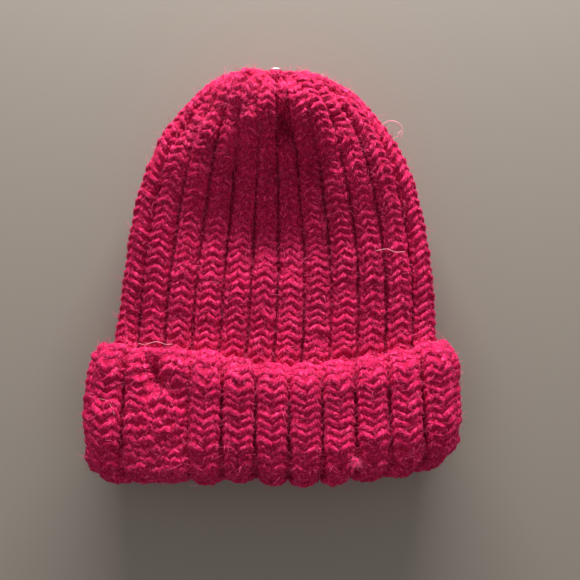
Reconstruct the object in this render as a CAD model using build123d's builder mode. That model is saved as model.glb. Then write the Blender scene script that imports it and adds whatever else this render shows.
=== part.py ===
"""Rib-knit beanie with a turned-up cuff, lying flat on its back, in millimetres.

The origin is the middle of the footprint on the resting plane. +Z is up from that plane,
+Y runs from the folded mouth to the crown and +X is the hat's right side.
Heights are counted from the fold at the mouth, towards the crown.
"""

import os

from build123d import *

# Overall size
hat_length = 242.0
cuff_width = 215.0
cuff_thickness = 46.0
cuff_height = 74.0

# Fabric and yarn
knit_wall = 7.0
body_wall = 6.5
layer_gap = 0.75
yarn_radius = 1.3
yarn_play = 0.05

# Lower tube, the layer that the cuff is folded over
tube_half_width = cuff_width / 2 - knit_wall - 2 * layer_gap
tube_bottom = knit_wall + layer_gap
tube_top = cuff_thickness - knit_wall - layer_gap
tube_start = knit_wall + 0.5
tube_end = cuff_height + 1.0

# Crown sections: height, half width, underside, upper side, dip in the middle of the upper side
crown_sections = [
    (tube_end, tube_half_width, tube_bottom, tube_top, 0.0),
    (90.0, 92.5, 2.0, 35.0, 1.0),
    (108.0, 90.0, -1.0, 31.0, 2.0),
    (130.0, 87.0, -1.0, 29.5, 4.0),
    (150.0, 83.5, -1.0, 30.0, 6.0),
    (170.0, 78.0, -1.0, 33.0, 8.0),
    (190.0, 70.5, -1.0, 38.5, 9.0),
    (206.0, 61.5, -0.5, 43.5, 7.0),
    (222.0, 50.5, 2.5, 45.0, 3.0),
    (233.0, 37.5, 8.5, 40.5, 1.0),
]

# Hub, where the crown is gathered shut
hub_half_width = 22.0
hub_bottom = 14.0
hub_top = 34.0
hub_wall = 8.0

# Cuff edges, seen from above (corner) and from the side (rounding)
fold_corner = 15.0
edge_corner = 5.0
fold_rounding = 5.5
edge_rounding = 3.0

# Side seam of the knitted panel, on the upper layer
seam_x = -67.0
seam_yarn_sink = 0.35
body_seam_drop = 2.2

# Snap for a detachable pom-pom: socket, spring and the post that rivets them through the hub
snap_x = 1.3
snap_z = 24.0
socket_radius = 4.2
socket_thickness = 2.8
socket_base = 0.7
socket_edge = 0.5
stud_radius = 2.0
play = 0.05
spring_wire = 0.25
spring_depth = 1.45
spring_opening = 40.0
post_radius = 1.4
post_wall = 0.35
rim_radius = 1.85
rim_thickness = 0.3
backing_radius = 5.0
backing_thickness = 0.9

# Gather yarn around the snap, and the loose yarn end on the cuff
gather_radius = 6.6
gather_yarn_radius = 1.1
knot_x = 48.0
knot_height = 9.5
knot_radius = 1.9
knot_rise = 0.6
tail_radius = 0.7
tail_reach = 9.0

# Worked out from the sizes above
mouth_half_width = tube_half_width - body_wall
mouth_bottom = tube_bottom + body_wall
mouth_top = tube_top - body_wall
hub_height = hat_length - socket_thickness
hub_inside = hub_height - hub_wall
groove_half = spring_wire + play
spring_height = hat_length - spring_depth
knot_z = cuff_thickness + knot_rise


def along(height):
    """Y of a height above the fold."""
    return height - hat_length / 2


def level(height):
    """Plane across the hat that faces the mouth, with its own y axis pointing up."""
    return Plane.XZ.offset(-along(height))


def snap_level(height):
    """The plane across the hat, centred on the snap."""
    return Plane(origin=(snap_x, along(height), snap_z), x_dir=(1, 0, 0), z_dir=(0, -1, 0))


def pillow(height, half_width, bottom, top, dip):
    """Section with a flat underside, half-round sides and a dip in its upper side."""
    side = (top - bottom) / 2
    flat = half_width - side
    with BuildSketch(level(height)) as section:
        with BuildLine():
            Line((-flat, bottom), (flat, bottom))
            ThreePointArc((flat, bottom), (half_width, bottom + side), (flat, top))
            Spline((flat, top), (0, top - dip), (-flat, top), tangents=((-1, 0), (-1, 0)))
            ThreePointArc((-flat, top), (-half_width, bottom + side), (-flat, bottom))
        make_face()
    return section.sketch


def slot(height, half_width, bottom, top):
    """Section of a flattened tube."""
    with BuildSketch(level(height)) as section:
        with Locations((0, (bottom + top) / 2)):
            SlotOverall(2 * half_width, top - bottom)
    return section.sketch


def ring(height, radius):
    """Disc section centred on the snap."""
    with BuildSketch(snap_level(height)) as section:
        Circle(radius)
    return section.sketch


# Knitted body: open tube at the mouth, dished front, gathered crown
outer = [pillow(*section) for section in crown_sections]
outer.append(pillow(hub_height, hub_half_width, hub_bottom, hub_top, 0.0))
inner = [
    pillow(height, half_width - body_wall, max(bottom, 0) + body_wall, top - body_wall, dip)
    for height, half_width, bottom, top, dip in crown_sections[:-1]
]
inner.append(pillow(hub_inside, hub_half_width + 4, hub_bottom - 1, hub_top + 1, 0.0))

with BuildPart() as knit_body:
    loft(outer)
    extrude(slot(tube_end, tube_half_width, tube_bottom, tube_top), amount=tube_end - tube_start)
    split(bisect_by=Plane.XY, keep=Keep.TOP)
    loft(inner, mode=Mode.SUBTRACT)
    mouth = slot(tube_end, mouth_half_width, mouth_bottom, mouth_top)
    extrude(mouth, amount=tube_end, mode=Mode.SUBTRACT)
    extrude(ring(hub_height, post_radius + play), amount=1.5 * hub_wall, mode=Mode.SUBTRACT)
knit_body.part.label = "knit_body"

# Cuff: the mouth of the tube, folded back up over the outside
with BuildPart() as turn_up_cuff:
    extrude(slot(cuff_height, cuff_width / 2, 0, cuff_thickness), amount=cuff_height)
    fillet(turn_up_cuff.faces().sort_by(Axis.Y)[0].edges(), radius=fold_rounding)
    fillet(turn_up_cuff.faces().sort_by(Axis.Y)[-1].edges(), radius=edge_rounding)
    with BuildSketch() as outline:
        with Locations((0, along(cuff_height / 2))):
            Rectangle(cuff_width, cuff_height)
        fillet(outline.vertices().group_by(Axis.Y)[0], radius=fold_corner)
        fillet(outline.vertices().group_by(Axis.Y)[-1], radius=edge_corner)
    extrude(amount=cuff_thickness, mode=Mode.INTERSECT)
    sleeve_half_width = tube_half_width + layer_gap
    sleeve = slot(cuff_height, sleeve_half_width, knit_wall, cuff_thickness - knit_wall)
    extrude(sleeve, amount=cuff_height - knit_wall, mode=Mode.SUBTRACT)
    mouth = slot(cuff_height, mouth_half_width, mouth_bottom, mouth_top)
    extrude(mouth, amount=cuff_height, mode=Mode.SUBTRACT)
    with BuildSketch(level(cuff_height)):
        with Locations((seam_x, cuff_thickness - seam_yarn_sink)):
            Circle(yarn_radius + yarn_play)
    extrude(amount=cuff_height, mode=Mode.SUBTRACT)
    with Locations((knot_x, along(knot_height), knot_z)):
        Sphere(knot_radius + yarn_play, mode=Mode.SUBTRACT)
turn_up_cuff.part.label = "turn_up_cuff"

# Joining yarn of the side seam, whose wrong side shows on the turned-up cuff
with BuildPart() as cuff_seam_yarn:
    with BuildSketch(level(cuff_height - edge_rounding)):
        with Locations((seam_x, cuff_thickness - seam_yarn_sink)):
            Circle(yarn_radius)
    extrude(amount=cuff_height - edge_rounding - fold_rounding)
    fillet(cuff_seam_yarn.edges().filter_by(GeomType.CIRCLE), radius=yarn_radius / 2)
cuff_seam_yarn.part.label = "cuff_seam_yarn"

# The same joining yarn inside the body, just under the front layer
with BuildPart() as body_seam_yarn:
    tube_seam_z = mouth_top - body_seam_drop
    bend_start = (seam_x, along(tube_end - 12), tube_seam_z)
    with BuildLine() as seam_path:
        Line((seam_x, along(tube_start), tube_seam_z), bend_start)
        Spline(
            bend_start,
            (0.97 * seam_x, along(90), tube_seam_z - 4),
            (0.92 * seam_x, along(112), tube_seam_z - 9.5),
            (0.82 * seam_x, along(150), tube_seam_z - 10),
            (0.64 * seam_x, along(190), tube_seam_z - 1.5),
            tangents=((0, 1, 0), (0.4, 0.9, 0.2)),
        )
    with BuildSketch(Plane(origin=seam_path.line @ 0, z_dir=seam_path.line % 0)):
        Circle(yarn_radius)
    sweep()
body_seam_yarn.part.label = "body_seam_yarn"

# Yarn drawn through the last row of stitches and pulled tight around the snap
with BuildPart() as crown_gather_yarn:
    with Locations(snap_level(hub_height + gather_yarn_radius + yarn_play)):
        Torus(major_radius=gather_radius, minor_radius=gather_yarn_radius)
crown_gather_yarn.part.label = "crown_gather_yarn"

# Snap socket: turned cup with a blind bore for the stud and a groove for the spring
with BuildPart() as snap_socket:
    extrude(ring(hat_length, socket_radius), amount=socket_thickness - play)
    fillet(snap_socket.faces().sort_by(Axis.Y)[-1].edges(), radius=socket_edge)
    extrude(ring(hat_length, stud_radius), amount=socket_thickness - socket_base, mode=Mode.SUBTRACT)
    extrude(ring(hat_length, post_radius + play), amount=socket_thickness, mode=Mode.SUBTRACT)
    groove = ring(spring_height + groove_half, stud_radius + 2 * groove_half)
    extrude(groove, amount=2 * groove_half, mode=Mode.SUBTRACT)
snap_socket.part.label = "snap_socket"

# Split ring of spring wire that grips the stud
with BuildPart() as snap_spring:
    with BuildLine(snap_level(spring_height)) as spring_path:
        CenterArc((0, 0), stud_radius + groove_half, spring_opening / 2, 360 - spring_opening)
    with BuildSketch(Plane(origin=spring_path.line @ 0, z_dir=spring_path.line % 0)):
        Circle(spring_wire)
    sweep()
snap_spring.part.label = "snap_spring"

# Post: backing disc inside the crown, hollow shank through the hub, rim rolled in the socket
with BuildPart() as snap_post:
    extrude(ring(hub_inside - play, backing_radius), amount=backing_thickness)
    fillet(snap_post.faces().sort_by(Axis.Y)[0].edges(), radius=backing_thickness / 2)
    rim_height = hub_height + socket_base + play
    extrude(ring(rim_height + rim_thickness, rim_radius), amount=rim_thickness)
    shank_length = rim_height + rim_thickness - hub_inside + backing_thickness
    extrude(ring(rim_height + rim_thickness, post_radius), amount=shank_length)
    bore = ring(rim_height + rim_thickness, post_radius - post_wall)
    extrude(bore, amount=shank_length - backing_thickness, mode=Mode.SUBTRACT)
snap_post.part.label = "snap_post"

# Loose yarn end at the foot of the cuff: a small knot with a tail
with BuildPart() as yarn_end:
    with Locations((knot_x, along(knot_height), knot_z)):
        Sphere(knot_radius)
    tail_z = cuff_thickness + tail_radius + yarn_play
    with BuildLine() as tail_path:
        Spline(
            (knot_x, along(knot_height), tail_z),
            (knot_x - 0.4 * tail_reach, along(knot_height + 3), tail_z + 0.3),
            (knot_x - tail_reach, along(knot_height + 2), tail_z),
        )
    with BuildSketch(Plane(origin=tail_path.line @ 0, z_dir=tail_path.line % 0)):
        Circle(tail_radius)
    sweep()
yarn_end.part.label = "yarn_end"

pieces = [
    knit_body,
    turn_up_cuff,
    cuff_seam_yarn,
    body_seam_yarn,
    crown_gather_yarn,
    snap_socket,
    snap_spring,
    snap_post,
    yarn_end,
]
os.makedirs("parts", exist_ok=True)
for piece in pieces:
    export_step(piece.part, f"parts/{piece.part.label}.step")
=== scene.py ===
"""Looks of the knit beanie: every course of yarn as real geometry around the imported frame.

Sizes are in millimetres until a mesh is written. Heights run from the fold towards the crown.
On a knitted tube, u counts ribs around it from its left side over the top, and v counts rows.
"""

import math

import bpy
import numpy as np
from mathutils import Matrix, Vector


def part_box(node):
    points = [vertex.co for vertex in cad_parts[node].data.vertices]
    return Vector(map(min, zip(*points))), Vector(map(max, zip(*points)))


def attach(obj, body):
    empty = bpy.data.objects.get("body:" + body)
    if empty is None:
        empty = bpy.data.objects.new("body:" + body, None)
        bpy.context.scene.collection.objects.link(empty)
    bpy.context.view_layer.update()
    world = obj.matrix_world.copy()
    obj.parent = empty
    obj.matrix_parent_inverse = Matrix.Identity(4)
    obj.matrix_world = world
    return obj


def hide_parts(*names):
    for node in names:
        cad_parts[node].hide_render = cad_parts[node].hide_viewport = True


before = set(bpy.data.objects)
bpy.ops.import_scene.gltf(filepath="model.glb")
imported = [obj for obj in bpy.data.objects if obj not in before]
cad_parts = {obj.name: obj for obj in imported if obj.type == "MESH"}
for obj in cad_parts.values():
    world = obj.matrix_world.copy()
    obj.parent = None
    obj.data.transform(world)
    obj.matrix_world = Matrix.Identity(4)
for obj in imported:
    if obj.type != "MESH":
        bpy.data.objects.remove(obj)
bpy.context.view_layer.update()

MM = 0.001
RANDOM = np.random.default_rng(7)


def in_mm(corners):
    """A box of the frame, from metres to millimetres."""
    return np.array(corners, dtype=float) / MM


# Places taken from the frame
cuff_low, cuff_high = in_mm(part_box("turn_up_cuff"))
socket_low, socket_high = in_mm(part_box("snap_socket"))
gather_low, gather_high = in_mm(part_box("crown_gather_yarn"))
knot_low, knot_high = in_mm(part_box("yarn_end"))
fold_y = cuff_low[1]
cuff_height = cuff_high[1] - cuff_low[1]
cuff_half_width = (cuff_high[0] - cuff_low[0]) / 2
hub = (socket_low + socket_high) / 2

# Knit
RIBS = 24
STITCHES_PER_RIB = 4
ROW_PITCH = 4.8
YARN_RADIUS = 2.05
POINTS_PER_STITCH = 12
YARN_SIDES = 6
YARN_PLIES = 3
RIB_FLATNESS = 1.3
FELT_OUTSIDE = 1.45
FELT_INSIDE = 0.5

# Loose fibres: triangles in each piece, sides of a fibre, and where on the yarn's radius it takes root
FUZZ_TRIANGLES = 140000
FIBRE_SIDES = 3
ROOT_SHARE = 0.85

# How far the drawstring lies inside the crown and the knot above its place in the frame
GATHER_TUCK = 2.6
KNOT_RAISE = 7.5

# Middle surface of the doubled mouth: half width, underside, upper side
MOUTH_HALF_WIDTH = 94.0
MOUTH_LOW = 13.6
MOUTH_HIGH = 30.4

# Number of sections along each tube, and how square the cuff's are
BODY_SECTIONS = 460
CUFF_SECTIONS = 300
CUFF_SQUARENESS = 4.0

# Middle and half width of the crown's raised part
RIDGE_MIDDLE = -7
RIDGE_HALF_WIDTH = 27

# Body: height, half width, underside, upper side, squareness of the section
BODY_STATIONS = np.array(
    [
        (8.0, MOUTH_HALF_WIDTH, MOUTH_LOW, MOUTH_HIGH, 4.0),
        (40.0, MOUTH_HALF_WIDTH - 1.0, MOUTH_LOW, MOUTH_HIGH, 4.0),
        (70.0, 90.0, 13.0, 30.2, 4.0),
        (88.0, 88.8, 9.0, 28.6, 4.0),
        (104.0, 87.6, 5.0, 28.0, 4.0),
        (124.0, 85.6, 4.6, 28.5, 4.0),
        (145.0, 82.6, 4.6, 29.6, 3.6),
        (165.0, 77.8, 4.6, 31.4, 3.3),
        (184.0, 71.0, 4.8, 34.6, 3.0),
        (200.0, 62.8, 5.5, 36.2, 2.8),
        (213.0, 53.4, 7.5, 36.6, 2.6),
        (222.5, 44.2, 9.5, 36.0, 2.4),
        (230.0, 34.5, 12.0, 35.2, 2.2),
        (234.6, 23.5, 15.0, 33.5, 2.0),
        (235.8, 14.5, 16.5, 31.5, 2.0),
        (235.0, 9.5, 17.5, 30.5, 2.0),
        (232.8, 6.8, 18.2, 29.8, 2.0),
        (228.0, 6.0, 18.4, 29.6, 2.0),
    ]
)

# Grooves along the sides and folds drawn in by the crown's gather:
# rib, first and last share of the rows, depth, width in ribs
CROWN_FOLDS = (
    (1.0, 0.26, 0.80, 2.6, 0.22),
    (11.0, 0.26, 0.80, 2.2, 0.20),
    (6.5, 0.77, 0.885, 12.5, 0.42),
    (6.5, 0.885, 0.99, 3.6, 0.26),
    (7.9, 0.66, 0.955, 8.0, 0.34),
    (9.3, 0.78, 0.96, 5.0, 0.32),
    (10.4, 0.84, 0.97, 7.0, 0.38),
    (4.6, 0.84, 0.93, 4.5, 0.40),
    (3.1, 0.74, 0.86, 3.0, 0.40),
    (1.6, 0.70, 0.84, 2.0, 0.40),
    (13.5, 0.78, 0.95, 3.5, 0.45),
    (15.4, 0.70, 0.92, 4.0, 0.45),
    (17.2, 0.74, 0.95, 4.5, 0.45),
    (19.3, 0.72, 0.93, 3.5, 0.45),
    (21.0, 0.78, 0.95, 3.0, 0.40),
    (22.6, 0.72, 0.90, 3.0, 0.45),
)


def curve(xs, ys, x):
    """Smooth curve through the knots (xs, ys), read at x; ys may hold several columns."""
    xs = np.asarray(xs, dtype=float)
    ys = np.asarray(ys, dtype=float)
    slopes = np.gradient(ys, xs, axis=0)
    x = np.clip(x, xs[0], xs[-1])
    i = np.clip(np.searchsorted(xs, x) - 1, 0, len(xs) - 2)
    step = xs[i + 1] - xs[i]
    t = (x - xs[i]) / step
    if ys.ndim > 1:
        step = step[..., None]
        t = t[..., None]
    start = (1 + 2 * t) * (1 - t) ** 2 * ys[i] + t * (1 - t) ** 2 * step * slopes[i]
    end = t**2 * (3 - 2 * t) * ys[i + 1] + t**2 * (t - 1) * step * slopes[i + 1]
    return start + end


def unit(vectors):
    """The vectors scaled to length 1."""
    return vectors / np.maximum(np.linalg.norm(vectors, axis=-1, keepdims=True), 1e-9)


def along_axis(vectors, axis):
    """Length of each vector along its axis, kept as a column."""
    return (vectors * axis).sum(-1, keepdims=True)


def bump(x, centre, width):
    """Bell curve of height 1."""
    return np.exp(-(((x - centre) / width) ** 2))


def ease(t):
    """0 to 1 with a flat start and end."""
    t = np.clip(t, 0, 1)
    return t * t * (3 - 2 * t)


def window(x, start, end, soft):
    """1 between start and end, easing to 0 around each of them over the length soft."""
    return ease((x - start) / soft + 0.5) * ease((end - x) / soft + 0.5)


def ribs_apart(u, rib):
    """Signed distance in ribs around the tube."""
    return (u - rib + RIBS / 2) % RIBS - RIBS / 2


def patchy(u, v, cell_u, cell_v):
    """Smooth random field of about unit size over a tube, with cells of that many ribs and rows."""
    across = int(round(RIBS / cell_u))
    down = int(v.max() / cell_v) + 3
    values = RANDOM.normal(0, 1, (down, across))
    x = (u % RIBS) * across / RIBS
    y = np.clip(v, 0, None) / cell_v
    i = np.floor(x).astype(int)
    j = np.floor(y).astype(int)
    fx = ease(x - i)
    fy = ease(y - j)
    i %= across
    k = (i + 1) % across
    low = values[j, i] * (1 - fx) + values[j, k] * fx
    high = values[j + 1, i] * (1 - fx) + values[j + 1, k] * fx
    return low * (1 - fy) + high * fy


class Fabric:
    """Middle surface of a knitted tube, read anywhere by rib and row.

    Its grid has ROUND points to a rib and ALONG points to a row.
    """

    ROUND = 24
    ALONG = 6

    def __init__(self, rings):
        lengths = np.linalg.norm(np.diff(rings, axis=0), axis=-1)
        reach = np.vstack([np.zeros(rings.shape[1]), np.cumsum(lengths, axis=0)])
        self.rows = int(round(reach[-1].mean() / ROW_PITCH))
        count = self.rows * self.ALONG + 1
        shares = np.linspace(0, 1, count)
        self.points = np.empty((count, rings.shape[1], 3))
        for column in range(rings.shape[1]):
            for axis in range(3):
                self.points[:, column, axis] = np.interp(
                    shares * reach[-1, column], reach[:, column], rings[:, column, axis]
                )
        self.measure()

    def measure(self):
        """Works out the way round the tube and the outward direction at every grid point."""
        around = (np.roll(self.points, -1, 1) - np.roll(self.points, 1, 1)) / 2
        along = np.gradient(self.points, axis=0)
        self.around = around * self.ROUND
        self.normals = unit(np.cross(around, along))

    def places(self):
        """Rib and row of every grid point."""
        u = np.arange(self.points.shape[1]) / self.ROUND
        v = np.arange(self.points.shape[0]) / self.ALONG
        return np.meshgrid(u, v)

    def push(self, amounts):
        """Moves the grid points along their normals."""
        self.points = self.points + self.normals * amounts[..., None]
        self.measure()

    def read(self, grid, u, v):
        """Values of a grid between its points, at rib u and row v."""
        x = (u * self.ROUND) % grid.shape[1]
        y = np.clip(v * self.ALONG, 0, grid.shape[0] - 1.001)
        i = np.floor(x).astype(int)
        j = np.floor(y).astype(int)
        fx = (x - i)[..., None]
        fy = (y - j)[..., None]
        i %= grid.shape[1]
        k = (i + 1) % grid.shape[1]
        low = grid[j, i] * (1 - fx) + grid[j, k] * fx
        high = grid[j + 1, i] * (1 - fx) + grid[j + 1, k] * fx
        return low * (1 - fy) + high * fy

    def above(self, x, height, clearance):
        """Point over the tube's upper side at a place across and along the hat."""
        on_top = (self.normals[..., 2] > 0.15) & (self.places()[0] < RIBS / 2)
        gap = np.hypot(self.points[..., 0] - x, self.points[..., 1] - fold_y - height)
        nearest = np.unravel_index(np.argmin(np.where(on_top, gap, np.inf)), gap.shape)
        return self.points[nearest] + self.normals[nearest] * clearance


def flattened_ring(half_width, low, high, squareness, centre=0.0, relief=None):
    """Section of a tube lying flat: x and z of evenly spaced points from its left side over the top."""
    fine_steps = 1441
    angle = np.linspace(math.pi, -math.pi, fine_steps)
    cosine = np.cos(angle)
    sine = np.sin(angle)
    x = half_width * np.sign(cosine) * np.abs(cosine) ** (2 / squareness)
    rise = np.sign(sine) * np.abs(sine) ** (2 / squareness)
    z = (low + high) / 2 + (high - low) / 2 * rise
    if relief is not None:
        z = z + relief(x) * np.clip(rise, 0, 1) ** 2
    half = len(angle) // 2
    section = []
    for part in (slice(0, half + 1), slice(half, None)):
        px = x[part]
        pz = z[part]
        reach = np.concatenate([[0], np.cumsum(np.hypot(np.diff(px), np.diff(pz)))])
        even = np.linspace(0, reach[-1], RIBS * Fabric.ROUND // 2 + 1)[:-1]
        section.append(np.stack([np.interp(even, reach, px), np.interp(even, reach, pz)], -1))
    section = np.concatenate(section)
    return section[:, 0] + centre, section[:, 1]


def hollow(height):
    """Dip of the front below the crown's ridge: depth, middle and half width at a height."""
    heights = (90, 112, 127, 140, 155, 172, 190, 205, 216, 224)
    depth = curve(heights, (0, 0, 3.5, 8.5, 12, 14.5, 15.5, 11.5, 2, 0), height)
    middle = curve((76, 142, 212, 224), (-6, -7, 5, 6), height)
    width = curve((76, 100, 142, 190, 212, 224), (46, 40, 34, 21, 9, 8), height)
    return depth, middle, width


def ridge(height):
    """How far the middle of the crown stands above its sides."""
    heights = (165, 185, 200, 213, 222.5, 230, 234.6)
    return curve(heights, (0, 1.4, 5.6, 9.8, 8.6, 3.0, 0), height)


def front_relief(x, height):
    """The crown's raised middle less the hollow of the front."""
    depth, middle, width = hollow(height)
    raised = ridge(height) * bump(x, RIDGE_MIDDLE, RIDGE_HALF_WIDTH)
    return raised - depth * bump(x, middle, width)


def body_fabric():
    """From the mouth, hidden behind the cuff, up to the drawn-in hub of the crown."""
    usual_fold = 9.5
    rings = []
    steps = np.linspace(0, len(BODY_STATIONS) - 1, BODY_SECTIONS)
    stations = curve(np.arange(len(BODY_STATIONS)), BODY_STATIONS, steps)
    for height, half_width, low, high, squareness in stations:
        shift = curve((70, 100, 200, 232), (0.5, 2.2, 2.4, hub[0]), height)
        x, z = flattened_ring(
            half_width, low, high, squareness, shift, lambda x: front_relief(x, height)
        )
        start = np.clip(fold_line(x) - usual_fold, 0, None) * (1 - ease(height / cuff_height))
        rings.append(np.stack([x, fold_y + height + start, z], -1))
    fabric = Fabric(np.array(rings))
    u, v = fabric.places()
    share = v / fabric.rows
    amounts = np.zeros_like(u)
    for rib, first, last, depth, width in CROWN_FOLDS:
        amounts -= depth * bump(ribs_apart(u, rib), 0, width) * window(share, first, last, 0.06)
    # Puffed stitches, most of them left of the gather, over slower waves of the whole body
    puffy = window(share, 0.66, 0.95, 0.12) * (0.4 + 0.6 * window(u, 1.0, 6.0, 1.5))
    amounts += 1.6 * patchy(u, v, 1.0, 2.4) * puffy
    amounts += 0.7 * patchy(u, v, 2.0, 7.0) * window(share, 0.34, 0.95, 0.1)
    # A swelling left of the gather, and a dip that leaves the snap in sight
    amounts += 2.2 * bump(u, 3.9, 1.5) * window(share, 0.86, 0.95, 0.06)
    amounts -= 3.2 * bump(u, 6.0, 2.1) * window(share, 0.93, 1.05, 0.04)
    fabric.push(amounts)
    return fabric


def fold_line(x):
    """Height of the folded mouth across the hat: lower at the left, rounded at both corners."""
    across = (-106, -96, -82, -60, -38, -12, 10, 50, 72, 86, 98, 106)
    heights = (18.0, 12.5, 8.8, 6.4, 8.6, 10.4, 8.6, 11.6, 14.0, 17.5, 24.0, 32.0)
    return curve(across, heights, x)


def edge_line(x):
    """Height of the cuff's edge across the hat: it sags in the middle."""
    across = (-107, -90, -42, -2, 38, 73, 96, 107)
    heights = (82, 80.5, 76.5, 69.5, 71, 77.5, 82, 82)
    return curve(across, heights, x)


def cuff_fabric():
    """From just inside the mouth, around the fold and up the outside to the edge."""
    turn = 4.5
    ribs_outside = 6.2
    inner = [(height, MOUTH_HALF_WIDTH, MOUTH_LOW, MOUTH_HIGH) for height in (9.0, 7.0, 5.5)]
    around = []
    for angle in np.radians((20, 55, 90, 125, 160)):
        out = turn * (1 - math.cos(angle))
        height = turn - turn * math.sin(angle)
        around.append((height, MOUTH_HALF_WIDTH + out, MOUTH_LOW - out, MOUTH_HIGH + out))
    widest = cuff_half_width - ribs_outside
    outer = [(6.0, widest, 5.5, 42.6), (16.0, widest, 5.5, 43.0)]
    outer += [(34.0, widest, 5.5, 41.3), (50.0, widest, 5.5, 40.2)]
    edge = [(60.0, widest - 0.3, 5.6, 40.6), (67.0, 100.0, 6.4, 39.0)]
    edge += [(71.5, 98.0, 8.0, 36.4), (73.6, 96.0, 10.0, 34.4)]
    stations = np.array(inner + around + outer + edge)
    steps = np.linspace(0, len(stations) - 1, CUFF_SECTIONS)
    rings = []
    for height, half_width, low, high in curve(np.arange(len(stations)), stations, steps):
        x, z = flattened_ring(half_width, low, high, CUFF_SQUARENESS)
        share = height / cuff_height
        y = fold_y + fold_line(x) * (1 - share) + edge_line(x) * share
        rings.append(np.stack([x, y, z], -1))
    fabric = Fabric(np.array(rings))
    u, v = fabric.places()
    below_edge = fabric.rows - v
    amounts = 0.6 * patchy(u, v, 2.0, 5.0)
    # A sunken patch at the left end, and the split in the edge where the ends are joined
    amounts -= 2.8 * window(u, 0.35, 1.65, 0.6) * window(below_edge, 3.4, 6.6, 3.0)
    notch = 2.08 + 0.13 * below_edge
    amounts -= 10.0 * bump(u, notch, 0.26) * window(below_edge, 1.3, 4.4, 1.0)
    fabric.push(amounts)
    return fabric


class Knit:
    """How one tube is knitted: where its ribs stand and how they fold in and out.

    widen and meander, in ribs, broaden the crests and tuck the flanks under them. depth, fullness,
    radius and drift are functions of rib and row. turned says that the rows run the other way up.
    """

    def __init__(self, fabric, ridge_phase, turned, widen, meander, depth, fullness, radius, drift):
        self.fabric = fabric
        self.ridge_phase = ridge_phase
        self.direction = -1 if turned else 1
        self.widen = widen
        self.meander = meander
        self.depth = depth
        self.fullness = fullness
        self.radius = radius
        self.drift = drift

    def surface(self, u, v):
        """Points on the ribbed surface and the direction it faces there."""
        s = u - self.ridge_phase
        wave = 2 * math.pi * s
        full = self.fullness(u, v)
        depth = self.depth(u, v) * full
        widen = self.widen * full
        meander = self.meander * full
        folded = u + widen * np.sin(wave) + meander * np.sin(2 * wave)
        stretch = 1 + 2 * math.pi * (widen * np.cos(wave) + 2 * meander * np.cos(2 * wave))
        crest = math.tanh(RIB_FLATNESS)
        level = np.tanh(RIB_FLATNESS * np.cos(wave)) / crest
        slope = 2 * math.pi * RIB_FLATNESS * np.sin(wave) * (1 - (level * crest) ** 2) / crest
        point = self.fabric.read(self.fabric.points, folded, v)
        normal = unit(self.fabric.read(self.fabric.normals, folded, v))
        around = self.fabric.read(self.fabric.around, folded, v)
        pitch = np.linalg.norm(around, axis=-1)
        out = unit(unit(around) * (depth * slope)[..., None] + normal * (pitch * stretch)[..., None])
        return point + normal * (depth * level)[..., None], out

    def courses(self, rows):
        """Centre lines, outward directions and radii of the given courses of yarn."""
        stitches = RIBS * STITCHES_PER_RIB
        turn = np.arange(stitches * POINTS_PER_STITCH) / POINTS_PER_STITCH
        theta = 2 * math.pi * turn[None]
        count = len(rows)
        # Each stitch: swing along the course, height in rows, way out of the loop's crown in millimetres
        bulge = 0.34 + per_stitch(count, 0.02)
        tall = 0.68 + per_stitch(count, 0.07)
        loop = 0.72 + per_stitch(count, 0.16)
        # Unevenness: out of the fabric, along the course, across it, and in the yarn's thickness
        lift = per_stitch(count, 0.28)
        sway = per_stitch(count, 0.045)
        slack = per_stitch(count, 0.07)
        plump = 1 + per_stitch(count, 0.07) + RANDOM.normal(0, 0.035, lift.shape)
        u = (turn[None] + bulge * np.sin(2 * theta) + sway) / STITCHES_PER_RIB
        row = np.asarray(rows)[:, None] + 0.5
        tall = tall * (0.5 + 0.5 * self.fullness(u, row + 0 * u))
        v = row - self.direction * tall * np.cos(theta) + slack + self.drift(u, row)
        point, out = self.surface(u, v)
        full = self.fullness(u, v)
        face = np.clip(1.6 * np.cos(2 * math.pi * (u - self.ridge_phase)), -1, 1) * full + 1 - full
        offset = lift - loop * np.cos(2 * theta) * face
        return point + out * offset[..., None], out, YARN_RADIUS * plump * self.radius(u, v)


def per_stitch(rows, spread):
    """Random amount for each stitch, running smoothly from one stitch to the next."""
    stitches = RIBS * STITCHES_PER_RIB
    values = RANDOM.normal(0, spread, (rows, stitches))
    at = np.arange(stitches * POINTS_PER_STITCH) / POINTS_PER_STITCH - 0.5
    i = np.floor(at).astype(int)
    part = ease(at - i)
    return values[:, i % stitches] * (1 - part) + values[:, (i + 1) % stitches] * part


def tubes(centre, radius, reference, sides):
    """Corner points (rows, points, sides, 3) of tubes around closed centre lines (rows, points, 3)."""
    tangent = unit(np.roll(centre, -1, 1) - np.roll(centre, 1, 1))
    side = np.empty_like(centre)
    side[:, 0] = unit(np.cross(reference[:, 0], tangent[:, 0]))
    for i in range(1, centre.shape[1]):
        carried = side[:, i - 1]
        side[:, i] = unit(carried - along_axis(carried, tangent[:, i]) * tangent[:, i])
    last = side[:, -1] - along_axis(side[:, -1], tangent[:, 0]) * tangent[:, 0]
    other = np.cross(tangent[:, 0], side[:, 0])
    slip = np.arctan2((last * other).sum(-1), (last * side[:, 0]).sum(-1))
    share = np.arange(centre.shape[1]) / centre.shape[1]
    up = np.cross(tangent, side)
    angle = np.linspace(0, 2 * math.pi, sides, endpoint=False)
    turn = angle[None, None] - (slip[:, None] * share[None])[..., None]
    around = np.cos(turn)[..., None] * side[:, :, None] + np.sin(turn)[..., None] * up[:, :, None]
    return centre[:, :, None] + around * radius[..., None, None]


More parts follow.
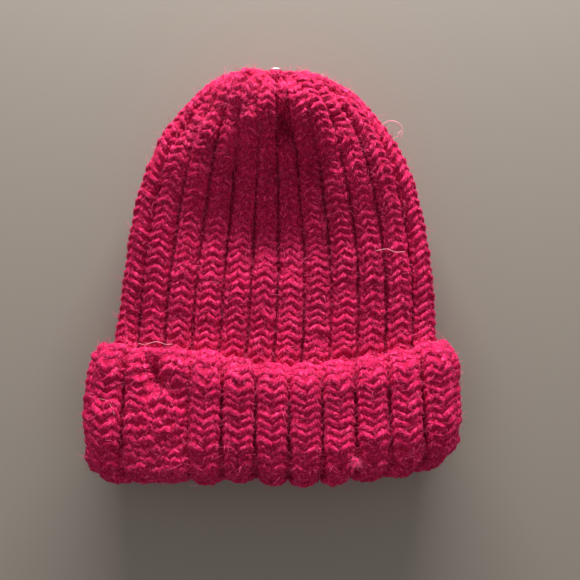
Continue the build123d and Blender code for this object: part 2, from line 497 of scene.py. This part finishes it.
def write_mesh(name, points, faces, material, uv=None):
    """New smooth mesh object from points in millimetres and faces that all have as many corners."""
    mesh = bpy.data.meshes.new(name)
    mesh.vertices.add(len(points))
    mesh.vertices.foreach_set("co", (points * MM).astype(np.float32).ravel())
    corners = faces.shape[1]
    mesh.loops.add(faces.size)
    mesh.loops.foreach_set("vertex_index", faces.astype(np.int32).ravel())
    mesh.polygons.add(len(faces))
    mesh.polygons.foreach_set("loop_start", np.arange(len(faces), dtype=np.int32) * corners)
    mesh.polygons.foreach_set("use_smooth", np.ones(len(faces), dtype=bool))
    if uv is not None:
        layer = mesh.uv_layers.new(name="yarn")
        layer.data.foreach_set("uv", uv.astype(np.float32).ravel())
    mesh.update(calc_edges=True)
    mesh.validate()
    mesh.materials.append(material)
    piece = bpy.data.objects.new(name, mesh)
    bpy.context.scene.collection.objects.link(piece)
    return piece


def finish_piece(piece, body, slot, *replaced):
    """Fastens a piece to its body and hides the CAD nodes it stands for."""
    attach(piece, body)
    if replaced:
        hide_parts(*replaced)


def yarn_piece(name, centre, out, radius, material):
    """One object holding closed rounds of yarn; also gives their corner points.

    Its UV map runs along the yarn in millimetres, apart for each round, and once around it.
    """
    rounds_apart = 131
    corners = tubes(centre, radius, out, YARN_SIDES)
    rows, points, sides = corners.shape[:3]
    row, i, k = np.meshgrid(np.arange(rows), np.arange(points), np.arange(sides), indexing="ij")
    base = row * points * sides

    def index(step_i, step_k):
        return base + ((i + step_i) % points) * sides + (k + step_k) % sides

    faces = np.stack([index(0, 0), index(1, 0), index(1, 1), index(0, 1)], -1).reshape(-1, 4)
    step = np.linalg.norm(np.roll(centre, -1, 1) - centre, axis=-1)
    reach = np.concatenate([np.zeros((rows, 1)), np.cumsum(step, 1)], 1)
    reach = reach + rounds_apart * np.arange(rows)[:, None]
    start = np.broadcast_to(reach[:, :-1, None], i.shape)
    end = np.broadcast_to(reach[:, 1:, None], i.shape)
    low = k / sides
    high = (k + 1) / sides
    ring = (
        np.stack([start, low], -1),
        np.stack([end, low], -1),
        np.stack([end, high], -1),
        np.stack([start, high], -1),
    )
    uv = np.stack(ring, -2).reshape(-1, 2)
    return write_mesh(name, corners.reshape(-1, 3), faces, material, uv), corners


def felt_piece(name, knit, material):
    """Matted wool inside the rounds of yarn: a thin closed sheet that follows the ribs."""
    u, v = np.meshgrid(np.arange(RIBS * 16) / 16, np.arange(knit.fabric.rows + 1.0))
    v = np.clip(v, 0.4, knit.fabric.rows - 0.4)
    point, out = knit.surface(u, v)
    outer = point + FELT_OUTSIDE * out
    inner = point - FELT_INSIDE * out
    rows, columns = u.shape
    i, k = np.meshgrid(np.arange(rows - 1), np.arange(columns), indexing="ij")
    low = i * columns + k
    low_next = i * columns + (k + 1) % columns
    faces = [np.stack([low, low_next, low_next + columns, low + columns], -1).reshape(-1, 4)]
    inside = rows * columns
    faces.append(faces[0][:, ::-1] + inside)
    k = np.arange(columns)
    following = (k + 1) % columns
    last = (rows - 1) * columns
    faces.append(np.stack([k + inside, following + inside, following, k], -1))
    end = k + last
    end_next = following + last
    faces.append(np.stack([end, end_next, end_next + inside, end + inside], -1))
    points = np.concatenate([outer.reshape(-1, 3), inner.reshape(-1, 3)])
    return write_mesh(name, points, np.concatenate(faces), material)


def fibre_piece(name, roots, outward, count, bends, thickness, mean_length, steepest, material):
    """Short loose fibres as thin closed tubes that leave the yarn and bend back towards it.

    A fibre has as many segments as bends, and none goes down through the table.
    """
    pick = RANDOM.integers(0, len(roots), count)
    root = roots[pick]
    up = outward[pick]
    lean = RANDOM.normal(0, 1, (count, 3))
    lean = unit(lean - along_axis(lean, up) * up)
    rise = RANDOM.uniform(0.02, steepest, (count, 1))
    ahead = unit(lean + up * rise)
    length = mean_length * np.clip(RANDOM.gamma(5.0, 0.2, (count, 1)), 0.4, 2.2)
    bend = RANDOM.normal(0, 0.45, (count, 3)) - up * rise * 0.5
    steps = np.linspace(0, 1, bends + 1)
    path = root[:, None] + length[:, None] * (
        steps[None, :, None] * ahead[:, None] + (steps**2)[None, :, None] * bend[:, None]
    )
    side = unit(np.cross(ahead, up + 0.3 * lean + 1e-3))
    other = np.cross(ahead, side)
    path[..., 2] = np.abs(path[..., 2])
    radius = thickness * (1 - 0.6 * steps**2)
    angle = np.linspace(0, 2 * math.pi, FIBRE_SIDES, endpoint=False)
    ring = np.cos(angle)[:, None] * side[:, None] + np.sin(angle)[:, None] * other[:, None]
    points = path[:, :, None] + ring[:, None] * radius[None, :, None, None]
    tip = FIBRE_SIDES * bends
    pattern = [(0, 1, 2), (tip + 2, tip + 1, tip)]
    for i in range(bends):
        for k in range(FIBRE_SIDES):
            here = i * FIBRE_SIDES + k
            there = i * FIBRE_SIDES + (k + 1) % FIBRE_SIDES
            pattern += [(here, here + FIBRE_SIDES, there), (there, here + FIBRE_SIDES, there + FIBRE_SIDES)]
    faces = (np.arange(count) * (tip + FIBRE_SIDES))[:, None, None] + np.array(pattern)[None]
    return write_mesh(name, points.reshape(-1, 3), faces.reshape(-1, 3), material)


def directions_across(path):
    """Two directions at right angles to an open path, carried along it without twisting."""
    tangent = unit(np.gradient(path, axis=0))
    side = np.empty_like(path)
    side[0] = unit(np.cross(tangent[0], (0.3, 0.2, 1.0)))
    for i in range(1, len(path)):
        side[i] = unit(side[i - 1] - (side[i - 1] @ tangent[i]) * tangent[i])
    return side, np.cross(tangent, side)


def threads_piece(name, paths, radius, material):
    """Closed tubes along open paths of points, tapered at both ends."""
    sides = YARN_SIDES
    points = []
    faces = []
    for path in paths:
        start = sum(len(p) for p in points)
        side, up = directions_across(path)
        angle = np.linspace(0, 2 * math.pi, sides, endpoint=False)
        number = np.arange(len(path))
        taper = radius * np.clip(np.minimum(number, number[::-1]) / 2 + 0.35, 0, 1)
        ring = np.cos(angle)[:, None] * side[:, None] + np.sin(angle)[:, None] * up[:, None]
        points.append((path[:, None] + ring * taper[:, None, None]).reshape(-1, 3))
        ends = np.array([path[0], path[-1]])
        points.append(ends)
        first_end = start + len(path) * sides
        for i in range(len(path) - 1):
            for k in range(sides):
                here = start + i * sides + k
                there = start + i * sides + (k + 1) % sides
                faces += [(here, there, here + sides), (there, there + sides, here + sides)]
        for k in range(sides):
            following = (k + 1) % sides
            top = start + (len(path) - 1) * sides
            faces += [(first_end, start + following, start + k), (first_end + 1, top + k, top + following)]
    return write_mesh(name, np.concatenate(points), np.array(faces), material)


def smooth_path(knots, count):
    """A smooth path of count points through the knots."""
    knots = np.asarray(knots, dtype=float)
    return curve(np.arange(len(knots)), knots, np.linspace(0, len(knots) - 1, count))


def plies(path, apart, twist):
    """Paths of the strands of one yarn, wound around its centre line once in each length twist."""
    side, up = directions_across(path)
    reach = np.concatenate([[0], np.cumsum(np.linalg.norm(np.diff(path, axis=0), axis=1))])
    strands = []
    for strand in range(YARN_PLIES):
        angle = 2 * math.pi * (reach / twist + strand / YARN_PLIES)
        strands.append(path + apart * (np.cos(angle)[:, None] * side + np.sin(angle)[:, None] * up))
    return strands


def node_maker(material):
    """Short way to add a node, set its inputs and link into them."""
    tree = material.node_tree

    def make(kind, inputs=None, **settings):
        node = tree.nodes.new(kind)
        for key, value in settings.items():
            setattr(node, key, value)
        for key, value in (inputs or {}).items():
            if isinstance(value, bpy.types.NodeSocket):
                tree.links.new(value, node.inputs[key])
            else:
                node.inputs[key].default_value = value
        return node

    return make


def calculate(make, operation, *values):
    """Math node that works on numbers or sockets; gives its result's socket."""
    return make("ShaderNodeMath", dict(enumerate(values)), operation=operation).outputs[0]


def new_material(name):
    """A material, its shader and its node maker."""
    material = bpy.data.materials.new(name)
    material.use_nodes = True
    return material, material.node_tree.nodes["Principled BSDF"], node_maker(material)


def wool_material(name, deep, bright):
    """Heathery plied wool: strands wound along the yarn, fine hair, pale flecks whose paleness is painted
    fibre highlight, and slow changes of shade.
    """
    material, shader, make = new_material(name)
    link = material.node_tree.links.new
    place = make("ShaderNodeTexCoord")
    yarn = make("ShaderNodeUVMap", uv_map="yarn")
    split = make("ShaderNodeSeparateXYZ", {"Vector": yarn.outputs["UV"]})
    along = split.outputs["X"]
    around = split.outputs["Y"]
    wound = calculate(make, "MULTIPLY", along, 0.9)
    phase = calculate(make, "MULTIPLY_ADD", around, 2 * math.pi * YARN_PLIES, wound)
    strand = calculate(make, "SINE", phase)
    hair_x = calculate(make, "MULTIPLY", along, 0.5)
    hair_y = calculate(make, "MULTIPLY_ADD", around, 14.0, hair_x)
    hair_place = make("ShaderNodeCombineXYZ", {"X": hair_x, "Y": hair_y})
    hair = make("ShaderNodeTexNoise", {"Vector": hair_place.outputs[0], "Scale": 1.6, "Detail": 3.0})
    grain = make("ShaderNodeTexNoise", {"Vector": place.outputs["Object"], "Scale": 700.0, "Detail": 4.0})
    slow = make("ShaderNodeTexNoise", {"Vector": place.outputs["Object"], "Scale": 45.0, "Detail": 2.0})
    mixed = calculate(make, "ADD", hair.outputs["Fac"], grain.outputs["Fac"])
    level = calculate(make, "MULTIPLY_ADD", strand, 0.05, mixed)
    ramp = make("ShaderNodeMapRange", {"Value": level, "From Min": 0.82, "From Max": 1.2})
    shade = make("ShaderNodeMix", {"Factor": ramp.outputs[0]}, data_type="RGBA")
    shade.inputs[6].default_value = (*deep, 1)
    shade.inputs[7].default_value = (*bright, 1)
    # Pale pink flecks along the yarn stand for short stray fibres; their paleness is painted highlight of
    # the light they catch.
    fleck_x = calculate(make, "MULTIPLY", along, 0.35)
    fleck_y = calculate(make, "MULTIPLY_ADD", around, 9.0, fleck_x)
    fleck_place = make("ShaderNodeCombineXYZ", {"X": fleck_x, "Y": fleck_y, "Z": 5.0})
    fleck = make("ShaderNodeTexNoise", {"Vector": fleck_place.outputs[0], "Scale": 1.7, "Detail": 2.0})
    pale = make("ShaderNodeMapRange", {"Value": fleck.outputs["Fac"], "From Min": 0.53, "From Max": 0.68})
    shade = make("ShaderNodeMix", {"Factor": pale.outputs[0], 6: shade.outputs[2]}, data_type="RGBA")
    shade.inputs[7].default_value = (0.95, 0.055, 0.215, 1)
    tone = make("ShaderNodeMapRange", {"Value": slow.outputs["Fac"], "From Min": 0.3, "From Max": 0.7})
    tone.inputs["To Min"].default_value = 0.82
    tone.inputs["To Max"].default_value = 1.12
    final = make("ShaderNodeVectorMath", {0: shade.outputs[2]}, operation="SCALE")
    link(tone.outputs[0], final.inputs["Scale"])
    link(final.outputs[0], shader.inputs["Base Color"])
    shader.inputs["Roughness"].default_value = 0.92
    shader.inputs["Specular IOR Level"].default_value = 0.2
    shader.inputs["Sheen Weight"].default_value = 0.35
    shader.inputs["Sheen Roughness"].default_value = 0.5
    shader.inputs["Sheen Tint"].default_value = (1, 0.03, 0.22, 1)
    ridges = calculate(make, "MULTIPLY_ADD", strand, 0.3, mixed)
    relief = make("ShaderNodeBump", {"Height": ridges, "Strength": 0.5, "Distance": 0.0005})
    link(relief.outputs["Normal"], shader.inputs["Normal"])
    return material


def felt_material(name, deep, bright):
    """Matted wool and loose fibres: fine grain between two shades; the loose fibres' pale pinks are painted
    highlight.
    """
    material, shader, make = new_material(name)
    link = material.node_tree.links.new
    place = make("ShaderNodeTexCoord")
    grain = make("ShaderNodeTexNoise", {"Vector": place.outputs["Object"], "Scale": 800.0, "Detail": 3.0})
    shade = make("ShaderNodeMix", {"Factor": grain.outputs["Fac"]}, data_type="RGBA")
    shade.inputs[6].default_value = (*deep, 1)
    shade.inputs[7].default_value = (*bright, 1)
    link(shade.outputs[2], shader.inputs["Base Color"])
    shader.inputs["Roughness"].default_value = 0.95
    shader.inputs["Specular IOR Level"].default_value = 0.2
    relief = make("ShaderNodeBump", {"Height": grain.outputs["Fac"], "Strength": 0.7, "Distance": 0.0004})
    link(relief.outputs["Normal"], shader.inputs["Normal"])
    return material


def metal_material(name, colour, roughness):
    """Plated metal with fine wear."""
    material, shader, make = new_material(name)
    link = material.node_tree.links.new
    place = make("ShaderNodeTexCoord")
    wear = make("ShaderNodeTexNoise", {"Vector": place.outputs["Object"], "Scale": 900.0, "Detail": 4.0})
    spread = make("ShaderNodeMapRange", {"Value": wear.outputs["Fac"], "From Min": 0.3, "From Max": 0.7})
    spread.inputs["To Min"].default_value = roughness - 0.1
    spread.inputs["To Max"].default_value = roughness + 0.15
    link(spread.outputs[0], shader.inputs["Roughness"])
    shade = make("ShaderNodeMix", {"Factor": wear.outputs["Fac"]}, data_type="RGBA")
    shade.inputs[6].default_value = (*[0.75 * c for c in colour], 1)
    shade.inputs[7].default_value = (*colour, 1)
    link(shade.outputs[2], shader.inputs["Base Color"])
    shader.inputs["Metallic"].default_value = 1.0
    return material


body_wool = wool_material("body_wool", (0.25, 0.0012, 0.02), (0.66, 0.007, 0.10))
cuff_wool = wool_material("cuff_wool", (0.27, 0.0015, 0.022), (0.70, 0.008, 0.11))
felt = felt_material("matted_wool", (0.17, 0.0008, 0.012), (0.78, 0.012, 0.11))
# The fibre and thread pinks below, all but the sewing yarn's, are paler than the wool: painted highlight
# for the light that fine fibres catch.
fibre = felt_material("loose_fibres", (0.62, 0.008, 0.08), (0.95, 0.04, 0.20))
highlight_fibre = felt_material("painted_highlight_fibres", (0.72, 0.015, 0.13), (1.0, 0.18, 0.40))
short_fibre = felt_material("short_fibres", (0.30, 0.002, 0.03), (1.0, 0.08, 0.28))
sewing_yarn = felt_material("sewing_yarn", (0.38, 0.003, 0.04), (0.95, 0.05, 0.20))
pale_fibre = felt_material("pale_threads", (0.80, 0.22, 0.32), (0.95, 0.48, 0.55))
plated = metal_material("plated_snap", (0.62, 0.61, 0.59), 0.38)
wire = metal_material("spring_steel", (0.62, 0.62, 0.62), 0.42)

# Layers of fuzz: name, bends, fibre radius, mean length, steepest rise from the yarn, material
FUZZ = (
    ("halo", 2, 0.05, 2.5, 1.2, fibre),
    ("flat", 2, 0.11, 2.6, 0.45, highlight_fibre),
    ("short", 1, 0.13, 1.5, 0.5, short_fibre),
)

body = body_fabric()
cuff = cuff_fabric()


def body_depth(u, v):
    """Rib depth: uneven below, and every second valley deepens towards the gathered crown."""
    gathered = ease((v / body.rows - 0.72) / 0.2)
    uneven = 0.45 * np.sin(1.7 * u + 0.21 * v) + 0.35 * np.sin(4.1 * u - 0.13 * v + 1.0)
    return 2.3 + uneven + gathered * (0.9 + 1.5 * np.cos(math.pi * u))


def body_fullness(u, v):
    """The ribs flatten where the crown puffs out at its left."""
    puffy = window(v / body.rows, 0.7, 0.9, 0.1) * window(u, 1.2, 5.6, 1.2)
    return 1 - 0.45 * puffy


def body_radius(u, v):
    """The yarn thins where the gather squeezes it."""
    return 1 - 0.5 * ease((v / body.rows - 0.86) / 0.14)


def cuff_depth(u, v):
    """Deeper ribs on the upper side than where the cuff lies on the table."""
    return 3.0 + 1.4 * window(u, 0.8, 11.4, 1.2)


def cuff_fullness(u, v):
    """The ribs fade at the edge, near the fold and where the cuff's ends are joined."""
    edge = ease((cuff.rows - v - 0.5) / 3.5)
    fold = 1 - 0.42 * window(v, 2.5, 6.0, 2.5)
    joined = 1 - 0.92 * window(u, 1.8, 3.5, 0.4)
    return (0.3 + 0.7 * edge) * fold * joined


def cuff_radius(u, v):
    """The cuff's yarn is a little fuller."""
    return 1.05 + 0 * u


def straight(u, v):
    """No wandering of the courses."""
    return 0 * u


def cuff_drift(u, v):
    """Where the ends are joined the courses wander up and down."""
    joined = window(u, 1.6, 3.7, 0.6) * window(v, 3.0, cuff.rows - 1.0, 2.0)
    slow = 0.24 * np.sin(2 * math.pi * (1.15 * u + 0.19 * v))
    quick = 0.14 * np.sin(2 * math.pi * (2.3 * u - 0.37 * v))
    return joined * (slow + quick)


body_knit = Knit(body, 0.5, False, 0.075, 0.078, body_depth, body_fullness, body_radius, straight)
cuff_knit = Knit(cuff, 0.0, True, 0.105, 0.08, cuff_depth, cuff_fullness, cuff_radius, cuff_drift)


def add_knit(knit, label, carrier, slot, wool, groups, replaced):
    """Yarn in groups of courses, each with its own fuzz, around a felted core."""
    felt_sheet = felt_piece(f"{label}_matted_wool", knit, felt)
    finish_piece(felt_sheet, carrier, slot, *replaced)
    for number, rows in enumerate(np.array_split(np.arange(knit.fabric.rows), groups)):
        centre, out, radius = knit.courses(rows)
        piece, corners = yarn_piece(f"{label}_courses_{number + 1}", centre, out, radius, wool)
        finish_piece(piece, carrier, slot)
        away = unit(corners - centre[:, :, None])
        outer = (away * out[:, :, None]).sum(-1) > 0.0
        roots = (centre[:, :, None] + ROOT_SHARE * (corners - centre[:, :, None]))[outer]
        for layer, bends, thickness, length, steepest, material in FUZZ:
            name = f"{label}_{layer}_fuzz_{number + 1}"
            count = FUZZ_TRIANGLES // (2 * FIBRE_SIDES * bends + 2)
            form = (count, bends, thickness, length, steepest)
            fuzz = fibre_piece(name, roots, away[outer], *form, material)
            finish_piece(fuzz, carrier, slot)


def add_gather_yarn():
    """Drawstring round that closes the crown under the snap."""
    radius = (gather_high[0] - gather_low[0]) / 2 - 1.1
    middle = (gather_low + gather_high) / 2 - np.array([0, GATHER_TUCK, 0])
    angle = np.linspace(0.1, 2 * math.pi - 0.02, 90)
    ring = (radius * np.cos(angle), 0.3 * np.sin(3 * angle), radius * np.sin(angle))
    path = middle + np.stack(ring, -1)
    piece = threads_piece("gather_yarn", plies(path, 0.5, 5.0), 0.55, sewing_yarn)
    finish_piece(piece, "hat", "yarn", "crown_gather_yarn")


def add_seam_yarns():
    """Sewing yarn of the two joins, running back and forth across the seam."""
    v = np.linspace(1.5, 0.8 * body.rows, 400)
    u = 2.6 + 0.22 * np.sin(math.pi * v)
    point, out = body_knit.surface(u, v)
    piece = threads_piece("body_seam_stitches", plies(point - 2.6 * out, 0.4, 5.0), 0.45, felt)
    finish_piece(piece, "hat", "yarn", "body_seam_yarn")
    v = np.linspace(5.0, cuff.rows - 2.5, 160)
    u = 2.65 + 0.2 * np.sin(math.pi * v)
    point, out = cuff_knit.surface(u, v)
    piece = threads_piece("cuff_seam_stitches", plies(point + 0.2 * out, 0.5, 5.0), 0.5, sewing_yarn)
    finish_piece(piece, "cuff", "yarn", "cuff_seam_yarn")


def add_yarn_end():
    """Small fuzzy knot near the fold and its short tail."""
    x = knot_high[0] - 5.0
    height = (knot_low[1] + knot_high[1]) / 2 - fold_y + KNOT_RAISE
    centre = cuff.above(x, height, 5.8)
    angle = np.linspace(0, 6 * math.pi, 90)
    coil = np.stack([1.4 * np.sin(angle), 1.7 * np.cos(1.33 * angle), np.sin(1.66 * angle)], -1)
    tail = np.array([(-0.8, -2.6, 0.2), (-1.6, -4.6, 0.2), (-1.4, -6.6, -0.8)])
    path = centre + np.concatenate([coil, smooth_path(np.concatenate([coil[-1:], tail]), 24)[1:]])
    piece = threads_piece("yarn_knot", plies(path, 0.35, 4.5), 0.5, sewing_yarn)
    finish_piece(piece, "cuff", "yarn", "yarn_end")
    outward = unit(coil + RANDOM.normal(0, 0.4, coil.shape))
    fuzz = fibre_piece("yarn_knot_fuzz", centre + coil, outward, 260, 3, 0.07, 2.2, 1.1, highlight_fibre)
    finish_piece(fuzz, "cuff", "yarn")


def add_loose_threads():
    """The few long fibres that stand out: x, height and clearance of each knot, or x, y, z from a root."""
    edge_thread = [(-76, 81.5, 3.5), (-71, 80.5, 5.5), (-65, 82.5, 5.0)]
    edge_thread += [(-60, 80.5, 5.5), (-56, 81.5, 4.5)]
    side_thread = [(-95, 50, 5.5), (-91, 49.0, 6.0), (-88, 46.5, 6.0), (-85, 42.0, 5.0)]
    low_thread = [(-46, 8.0, 4.5), (-43, 5.0, 5.5), (-40, 6.0, 4.5)]
    cuff_paths = []
    for knots in (side_thread, low_thread):
        cuff_paths.append(smooth_path([cuff.above(*knot) for knot in knots], 24))
    piece = threads_piece("cuff_loose_threads", cuff_paths, 0.14, pale_fibre)
    finish_piece(piece, "cuff", "yarn")
    body_thread = [(58, 134, 5.0), (64, 135.5, 6.0), (69, 133.5, 5.5), (74, 134, 4.5)]
    body_paths = []
    for knots in (edge_thread, body_thread):
        body_paths.append(smooth_path([body.above(*knot) for knot in knots], 24))
    root = body.above(60, 205, 2.0)
    wide_loop = [(0, 1, 0), (6, 4.5, 0), (11.5, 2.5, 1.5)]
    wide_loop += [(13.5, -2.5, 2.0), (9.5, -5.5, 1.0), (4.0, -6.5, -1)]
    small_loop = [(3, 3, 0), (9, 3.5, 2), (12.5, -1.0, 1.0)]
    small_loop += [(10.5, -4.0, 2.5), (12.5, -5.5, 1.0), (13.5, -1.5, 0.5)]
    for loop in (wide_loop, small_loop):
        body_paths.append(smooth_path(root + np.array(loop), 40))
    piece = threads_piece("body_loose_threads", body_paths, 0.16, pale_fibre)
    finish_piece(piece, "hat", "yarn")


def dress_snap():
    """The snap's own CAD pieces stay and get their metals."""
    for node, material in (("snap_socket", plated), ("snap_post", plated), ("snap_spring", wire)):
        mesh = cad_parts[node].data
        mesh.materials.clear()
        mesh.materials.append(material)


def add_floor():
    """Plain table top at the hat's resting height."""
    half = 1.5
    corners = [(-half, -half, 0), (half, -half, 0), (half, half, 0), (-half, half, 0)]
    mesh = bpy.data.meshes.new("floor")
    mesh.from_pydata(corners, [], [(0, 1, 2, 3)])
    floor = bpy.data.objects.new("floor", mesh)
    material, shader, _ = new_material("plain_floor")
    shader.inputs["Base Color"].default_value = (0.30, 0.26, 0.22, 1)
    shader.inputs["Roughness"].default_value = 0.8
    mesh.materials.append(material)
    bpy.context.scene.collection.objects.link(floor)


def add_area(name, place, target, width, height, energy):
    """Rectangular lamp in metres and watts, turned to its target."""
    light = bpy.data.lights.new(name, "AREA")
    light.shape = "RECTANGLE"
    light.size = width
    light.size_y = height
    light.energy = energy
    lamp = bpy.data.objects.new(name, light)
    lamp.location = place
    lamp.rotation_euler = (Vector(target) - Vector(place)).to_track_quat("-Z", "Y").to_euler()
    bpy.context.scene.collection.objects.link(lamp)


def add_world(strength):
    """Even white light from all round."""
    world = bpy.data.worlds.new("studio")
    world.use_nodes = True
    world.node_tree.nodes["Background"].inputs["Color"].default_value = (1, 1, 1, 1)
    world.node_tree.nodes["Background"].inputs["Strength"].default_value = strength
    bpy.context.scene.world = world


def add_camera():
    """Camera nearly straight above the hat, wide enough for half_view on each side of its target."""
    distance = 0.5
    half_view = 0.1675
    camera = bpy.data.cameras.new("camera")
    camera.angle = 2 * math.atan(half_view / distance)
    holder = bpy.data.objects.new("camera", camera)
    target = Vector((0.0098, -0.0081, 0.022))
    elevation = math.radians(86)
    holder.location = target + distance * Vector((0, -math.cos(elevation), math.sin(elevation)))
    holder.rotation_euler = (target - holder.location).to_track_quat("-Z", "Y").to_euler()
    bpy.context.scene.collection.objects.link(holder)
    bpy.context.scene.camera = holder


add_knit(body_knit, "body", "hat", "body_knit", body_wool, 5, ["knit_body"])
add_knit(cuff_knit, "cuff", "cuff", "cuff_knit", cuff_wool, 2, ["turn_up_cuff"])
add_gather_yarn()
add_seam_yarns()
add_yarn_end()
add_loose_threads()
dress_snap()

bpy.context.scene.view_settings.view_transform = "Standard"
add_floor()
add_area("window", (0.04, 1.0, 0.235), (0, 0, 0), 0.9, 0.14, 32)
add_world(0.36)
add_camera()
